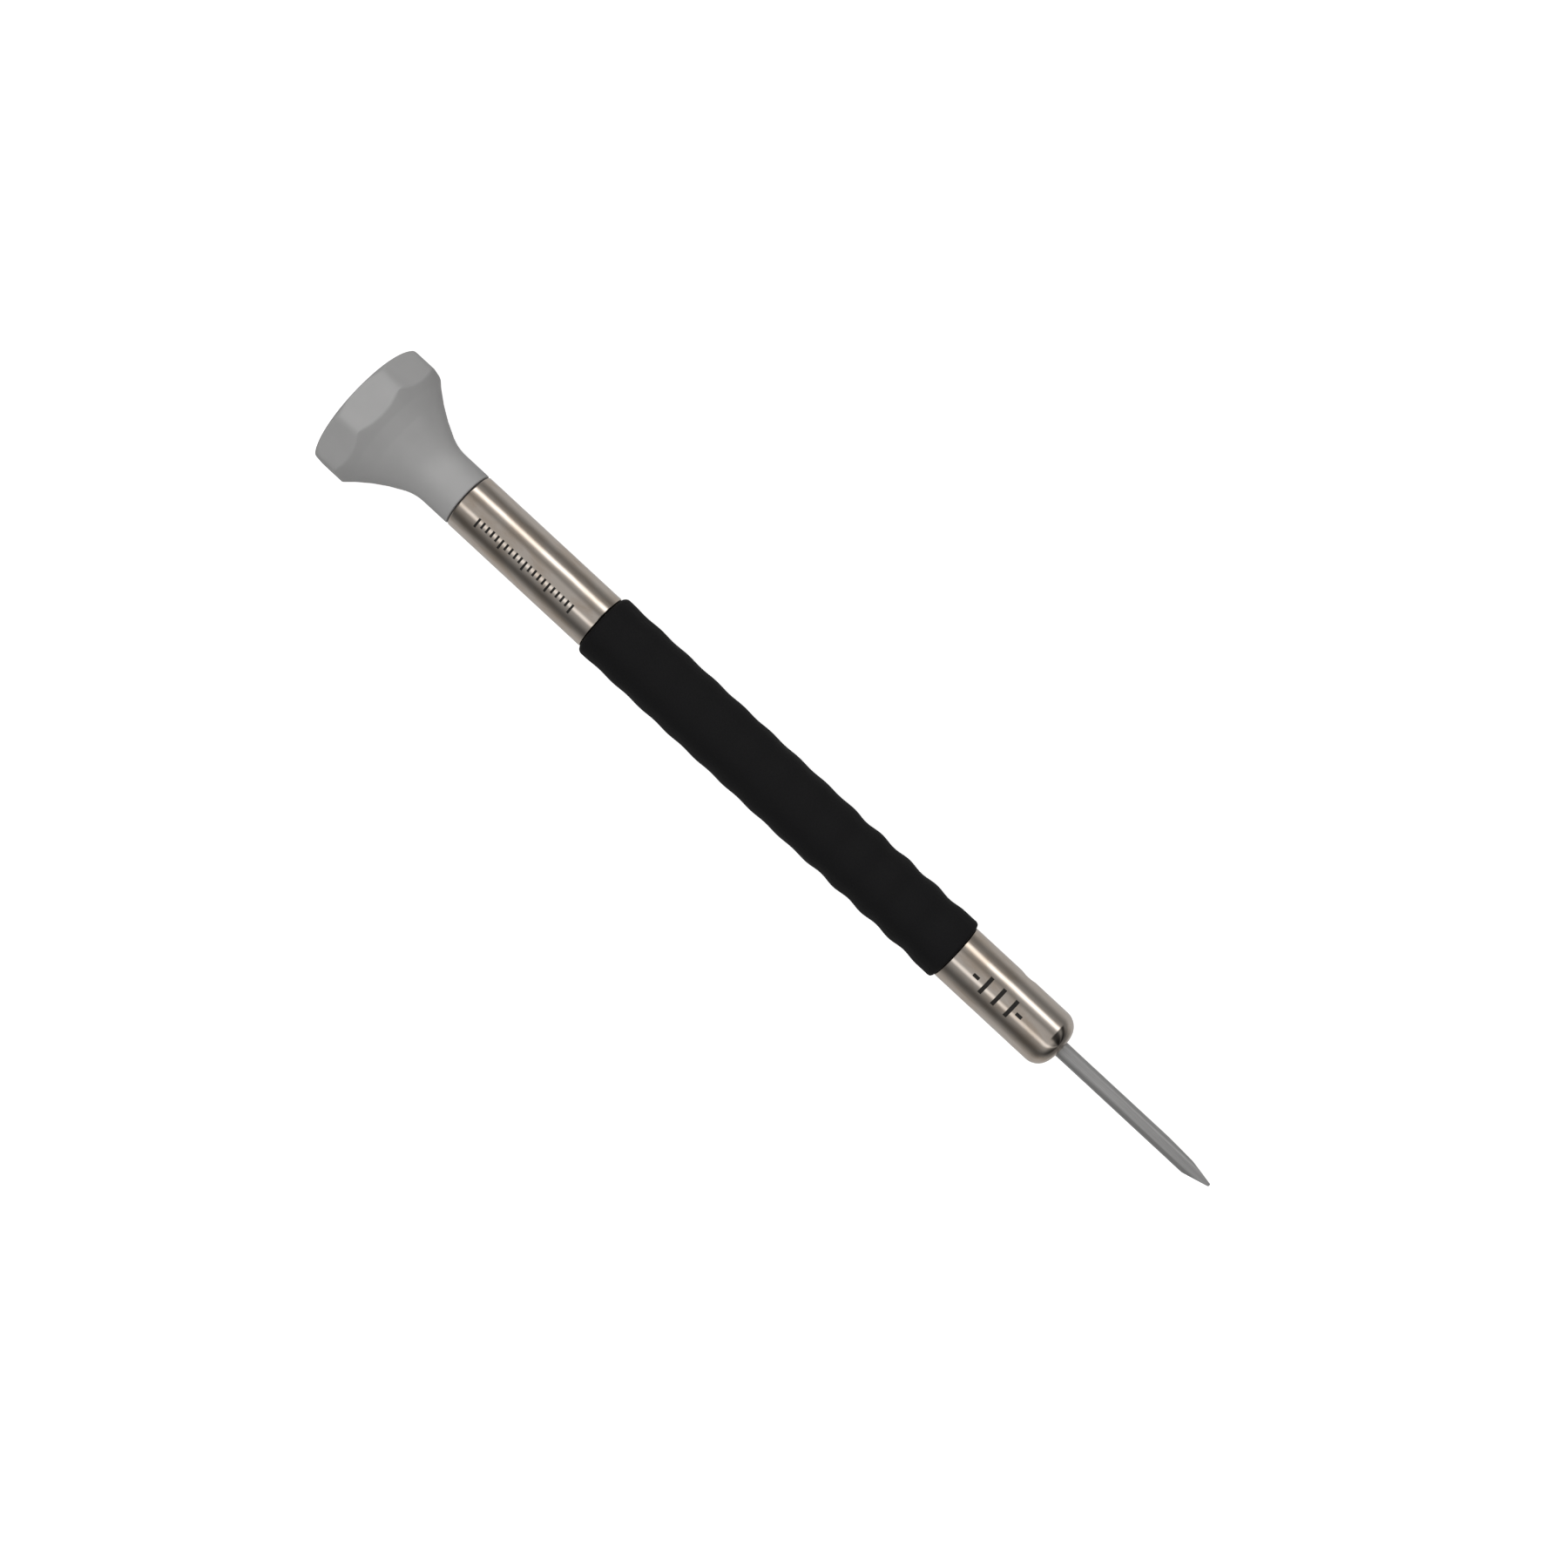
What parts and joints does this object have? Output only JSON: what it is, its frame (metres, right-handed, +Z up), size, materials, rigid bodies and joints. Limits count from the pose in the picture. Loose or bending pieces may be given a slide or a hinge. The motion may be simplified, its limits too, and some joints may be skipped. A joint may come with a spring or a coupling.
{
  "type": "watchmaker screwdriver",
  "caption": "Slim precision screwdriver: octagonal anti-roll head that spins on a ball bearing, plated body, black ribbed grip, clamped flat blade.",
  "frame": {"origin": "under the middle of the tool's bounding box, on the bench that it lies on", "axes": "+X runs along the tool from its head to its blade, level with the bench; +Z is up; +Y is the side with the clamp screw. The tool's own axis slopes down towards the blade by 2.56 degrees, because the head rests on one flat and the slimmer nose touches the bench"},
  "size_m": [0.0918, 0.0114, 0.0115],
  "materials": {
    "grey_plastic": "satin moulded",
    "cap_plastic": "satin moulded, dished",
    "black_rubber": "matt elastomer with fine rings",
    "nickel_plate": "polished warm nickel plate",
    "blade_steel": "fine lengthwise grinding",
    "screw_steel": "dark turned steel",
    "bearing_steel": "ground and polished",
    "brass": "turned",
    "black_nylon": "smooth"
  },
  "bodies": {
    "handle": {"spindle": "bearing_steel", "bearing_inner_ring": "bearing_steel", "retaining_clip": "bearing_steel", "thrust_washer": "black_nylon", "rear_barrel": "nickel_plate", "grip_sleeve": "black_rubber", "blade_holder": "nickel_plate"},
    "head": {"head_shell": "grey_plastic", "finger_cap": "cap_plastic", "bearing_outer_ring": "bearing_steel", "neck_bush": "brass"},
    "ball_cage": {"bearing_cage": "brass", "bearing_ball_1": "bearing_steel", "bearing_ball_2": "bearing_steel", "bearing_ball_3": "bearing_steel", "bearing_ball_4": "bearing_steel", "bearing_ball_5": "bearing_steel", "bearing_ball_6": "bearing_steel", "bearing_ball_7": "bearing_steel"},
    "blade": {"blade": "blade_steel"},
    "clamp_screw": {"clamp_screw": "screw_steel"}
  },
  "joints": [
    {"name": "head_swivel", "type": "hinge", "parent": "handle", "child": "head", "pos_m": [-0.0421, 0, 0.00566], "axis": [0.999, 0, -0.0448], "continuous": true},
    {"name": "cage_orbit", "type": "hinge", "parent": "handle", "child": "ball_cage", "pos_m": [-0.0421, 0, 0.00566], "axis": [0.999, 0, -0.0448], "continuous": true},
    {"name": "blade_draw", "type": "slide", "parent": "handle", "child": "blade", "axis": [0.999, 0, -0.0448], "range_m": [0, 0.015]},
    {"name": "clamp_screw_turn", "type": "hinge", "parent": "handle", "child": "clamp_screw", "pos_m": [0.02418, 0.0015, 0.00269], "axis": [0, 1, 0], "range_deg": [0, 720]}
  ],
  "couplings": [
    {"joint": "cage_orbit", "follows": "head_swivel", "ratio": 0.625}
  ]
}
